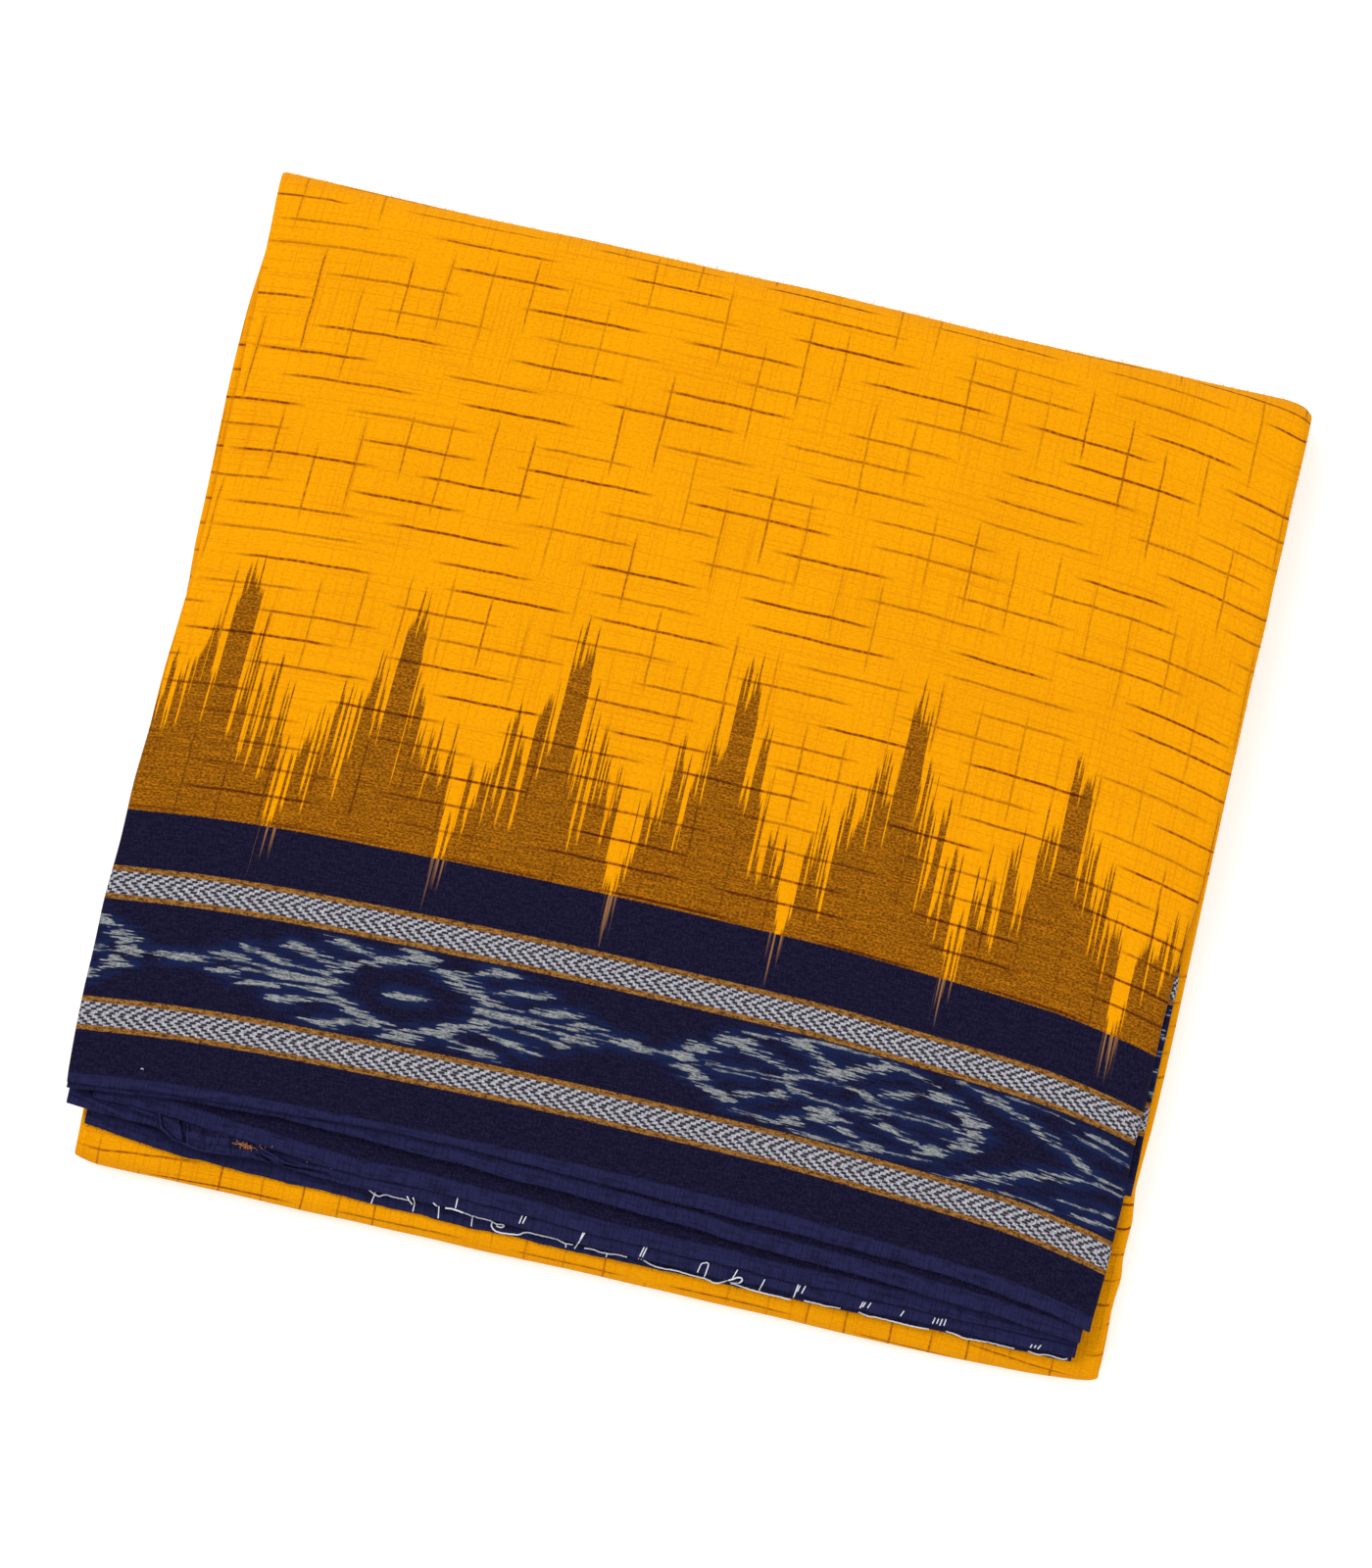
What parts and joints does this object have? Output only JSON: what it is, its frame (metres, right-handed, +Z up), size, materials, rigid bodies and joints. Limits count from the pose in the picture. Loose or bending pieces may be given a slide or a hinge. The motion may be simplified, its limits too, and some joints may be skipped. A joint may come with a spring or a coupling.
{
  "type": "folded saree",
  "caption": "Cotton saree folded into a flat layered pack: dashed amber field, toothed brown band, and a navy border whose selvedges show along one side.",
  "frame": {"origin": "middle of the pack's footprint, on the surface that it rests on", "axes": "+X along the folds, to the right seen from the selvedge side; +Y away from the selvedges towards the back fold; +Z up, the way the border's right side faces"},
  "size_m": [0.3194, 0.3004, 0.028],
  "materials": {
    "amber_field_cloth": "matt handloom cotton, amber with fine brown dashes",
    "navy_border_cloth": "matt handloom cotton, navy with pale woven and tied bands",
    "white_weft": "loose white cotton weft carried along a selvedge"
  },
  "bodies": {
    "root": {"top_leaf": "amber_field_cloth", "back_fold": "amber_field_cloth", "under_leaf": "amber_field_cloth", "mid_fold": "amber_field_cloth", "inner_layers": "amber_field_cloth", "left_inner_fold": "amber_field_cloth", "right_inner_fold": "navy_border_cloth", "selvedge_leaf_2": "navy_border_cloth", "selvedge_leaf_3": "navy_border_cloth", "selvedge_leaf_4": "navy_border_cloth"}
  },
  "joints": []
}
